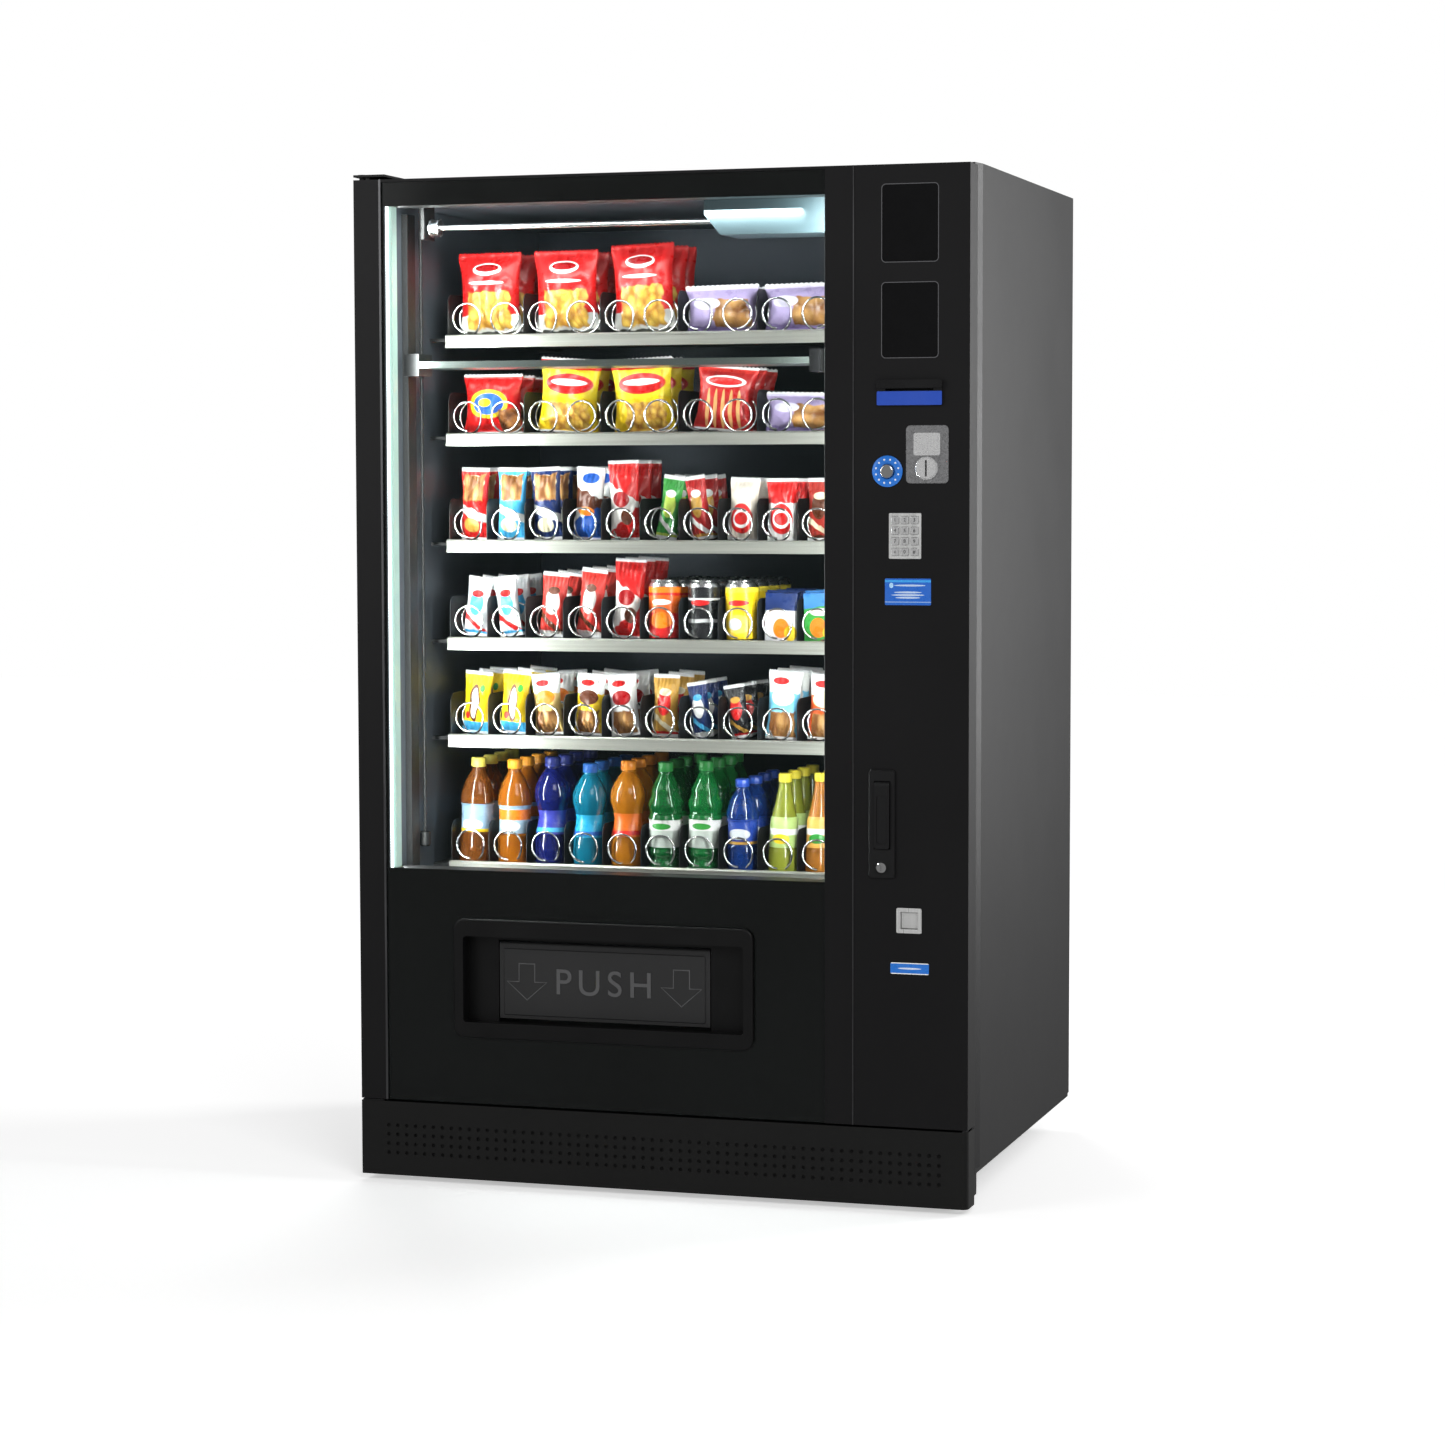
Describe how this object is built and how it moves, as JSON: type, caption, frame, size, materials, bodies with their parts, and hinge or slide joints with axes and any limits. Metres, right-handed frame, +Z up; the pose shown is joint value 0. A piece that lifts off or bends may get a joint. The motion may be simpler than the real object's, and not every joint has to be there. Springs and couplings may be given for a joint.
{
  "type": "snack vending machine",
  "caption": "Free-standing glass-fronted snack vending machine with spiral trays, a product lift, a payment column and a push-flap delivery bin behind a hinged door.",
  "frame": {"origin": "bottom centre of the whole machine, on the floor", "axes": "+Z up, +X to the customer's right, +Y to the back"},
  "size_m": [1.14, 0.89, 1.83],
  "materials": {
    "cabinet_black": "textured charcoal powder coat",
    "liner_grey": "satin grey enamel",
    "door_black": "fine matt black powder coat",
    "door_glass": "clear, with a printed black border",
    "trim_bright": "bright edge",
    "steel": "brushed",
    "chrome": "polished",
    "rail_aluminium": "satin anodised",
    "black_plastic": "fine textured moulding",
    "gloss_black": "gloss",
    "grey_plastic": "satin moulding",
    "wire": "plated wire",
    "lamp": "lit diffuser",
    "rubber_black": "moulded",
    "copper_brown": "satin"
  },
  "bodies": {
    "cabinet": {"side_panel_left": "cabinet_black", "side_panel_right": "cabinet_black", "top_panel": "cabinet_black", "rear_panel": "cabinet_black", "base_frame": "cabinet_black", "kick_plate": "cabinet_black", "levelling_feet": "rubber_black", "inner_liner": "liner_grey", "hinge_brackets": "cabinet_black", "power_inlet": "black_plastic", "compressor": "copper_brown", "condenser_coil": "copper_brown", "tray_pans": "liner_grey", "price_rails": "rail_aluminium", "tray_dividers": "black_plastic", "spiral_motors": "black_plastic", "tray_spirals": "wire", "tray_runners": "liner_grey", "lift_rails": "liner_grey", "lift_motor_cover": "grey_plastic"},
    "fan": {"condenser_fan": "black_plastic"},
    "left_spiral": {"vend_spiral_left": "wire"},
    "right_spiral": {"vend_spiral_right": "wire"},
    "tray": {"service_tray": "liner_grey", "service_tray_rail": "rail_aluminium", "service_tray_spirals": "wire", "service_tray_motors": "black_plastic"},
    "lift": {"lift_platform": "liner_grey"},
    "drive_shaft": {"lift_shaft": "steel"},
    "door": {"door_frame": "door_black", "door_glass": "door_glass", "door_trims": "trim_bright", "control_panel": "door_black", "led_strip": "lamp", "payment_windows": "gloss_black", "bill_acceptor": "gloss_black", "coin_plate": "steel", "coin_mechanism": "grey_plastic", "keypad_plate": "steel", "lock_escutcheon": "door_black", "coin_cup": "steel", "delivery_frame": "black_plastic", "delivery_bin": "black_plastic"},
    "flap": {"delivery_flap": "black_plastic"},
    "handle": {"lock_handle": "door_black"},
    "barrel": {"lock_cylinder": "chrome"},
    "return_button": {"coin_return_button": "chrome"},
    "cup_flap": {"coin_cup_flap": "steel"},
    "button_1": {"key_1": "steel"},
    "button_2": {"key_2": "steel"},
    "button_3": {"key_3": "steel"},
    "button_4": {"key_4": "steel"},
    "button_5": {"key_5": "steel"},
    "button_6": {"key_6": "steel"},
    "button_7": {"key_7": "steel"},
    "button_8": {"key_8": "steel"},
    "button_9": {"key_9": "steel"},
    "button_star": {"key_star": "steel"},
    "button_0": {"key_0": "steel"},
    "button_hash": {"key_hash": "steel"}
  },
  "joints": [
    {"name": "door_hinge", "type": "hinge", "parent": "cabinet", "child": "door", "pos_m": [-0.558, -0.418, 0.985], "axis": [0, 0, -1], "range_deg": [0, 110]},
    {"name": "tray_slide", "type": "slide", "parent": "cabinet", "child": "tray", "axis": [0, -1, 0], "range_m": [0, 0.435]},
    {"name": "lift_slide", "type": "slide", "parent": "cabinet", "child": "lift", "axis": [0, 0, 1], "range_m": [-0.97, 0.05]},
    {"name": "drive_shaft_turn", "type": "hinge", "parent": "cabinet", "child": "drive_shaft", "pos_m": [-0.2, -0.313, 1.74], "axis": [1, 0, 0], "range_deg": [-3980, 210]},
    {"name": "left_spiral_turn", "type": "hinge", "parent": "cabinet", "child": "left_spiral", "pos_m": [-0.4434, 0, 1.39901], "axis": [0, 1, 0], "continuous": true},
    {"name": "right_spiral_turn", "type": "hinge", "parent": "cabinet", "child": "right_spiral", "pos_m": [-0.3682, 0, 1.39901], "axis": [0, 1, 0], "continuous": true},
    {"name": "fan_spin", "type": "hinge", "parent": "cabinet", "child": "fan", "pos_m": [-0.3, -0.075, 0.235], "axis": [0, 1, 0], "continuous": true},
    {"name": "flap_hinge", "type": "hinge", "parent": "door", "child": "flap", "pos_m": [-0.1065, -0.403, 0.44], "axis": [1, 0, 0], "range_deg": [0, 50]},
    {"name": "handle_tilt", "type": "hinge", "parent": "door", "child": "handle", "pos_m": [0.417, -0.4355, 0.7485], "axis": [-1, 0, 0], "range_deg": [0, 60]},
    {"name": "barrel_turn", "type": "hinge", "parent": "door", "child": "barrel", "pos_m": [0.4165, -0.433, 0.606], "axis": [0, 1, 0], "range_deg": [0, 90]},
    {"name": "coin_return_press", "type": "slide", "parent": "door", "child": "return_button", "axis": [0, 1, 0], "range_m": [0, 0.005], "stiffness_N_per_m": 300, "springref_m": -0.003},
    {"name": "cup_flap_hinge", "type": "hinge", "parent": "door", "child": "cup_flap", "pos_m": [0.4645, -0.4278, 0.526], "axis": [1, 0, 0], "range_deg": [0, 40]},
    {"name": "key_1_press", "type": "slide", "parent": "door", "child": "button_1", "axis": [0, 1, 0], "range_m": [0, 0.002], "stiffness_N_per_m": 400, "springref_m": -0.001},
    {"name": "key_2_press", "type": "slide", "parent": "door", "child": "button_2", "axis": [0, 1, 0], "range_m": [0, 0.002], "stiffness_N_per_m": 400, "springref_m": -0.001},
    {"name": "key_3_press", "type": "slide", "parent": "door", "child": "button_3", "axis": [0, 1, 0], "range_m": [0, 0.002], "stiffness_N_per_m": 400, "springref_m": -0.001},
    {"name": "key_4_press", "type": "slide", "parent": "door", "child": "button_4", "axis": [0, 1, 0], "range_m": [0, 0.002], "stiffness_N_per_m": 400, "springref_m": -0.001},
    {"name": "key_5_press", "type": "slide", "parent": "door", "child": "button_5", "axis": [0, 1, 0], "range_m": [0, 0.002], "stiffness_N_per_m": 400, "springref_m": -0.001},
    {"name": "key_6_press", "type": "slide", "parent": "door", "child": "button_6", "axis": [0, 1, 0], "range_m": [0, 0.002], "stiffness_N_per_m": 400, "springref_m": -0.001},
    {"name": "key_7_press", "type": "slide", "parent": "door", "child": "button_7", "axis": [0, 1, 0], "range_m": [0, 0.002], "stiffness_N_per_m": 400, "springref_m": -0.001},
    {"name": "key_8_press", "type": "slide", "parent": "door", "child": "button_8", "axis": [0, 1, 0], "range_m": [0, 0.002], "stiffness_N_per_m": 400, "springref_m": -0.001},
    {"name": "key_9_press", "type": "slide", "parent": "door", "child": "button_9", "axis": [0, 1, 0], "range_m": [0, 0.002], "stiffness_N_per_m": 400, "springref_m": -0.001},
    {"name": "key_star_press", "type": "slide", "parent": "door", "child": "button_star", "axis": [0, 1, 0], "range_m": [0, 0.002], "stiffness_N_per_m": 400, "springref_m": -0.001},
    {"name": "key_0_press", "type": "slide", "parent": "door", "child": "button_0", "axis": [0, 1, 0], "range_m": [0, 0.002], "stiffness_N_per_m": 400, "springref_m": -0.001},
    {"name": "key_hash_press", "type": "slide", "parent": "door", "child": "button_hash", "axis": [0, 1, 0], "range_m": [0, 0.002], "stiffness_N_per_m": 400, "springref_m": -0.001}
  ],
  "couplings": [
    {"joint": "tray_slide", "follows": "door_hinge", "m_per_rad": 0.225},
    {"joint": "drive_shaft_turn", "follows": "lift_slide", "rad_per_m": 71.429},
    {"joint": "right_spiral_turn", "follows": "left_spiral_turn", "ratio": -1}
  ]
}
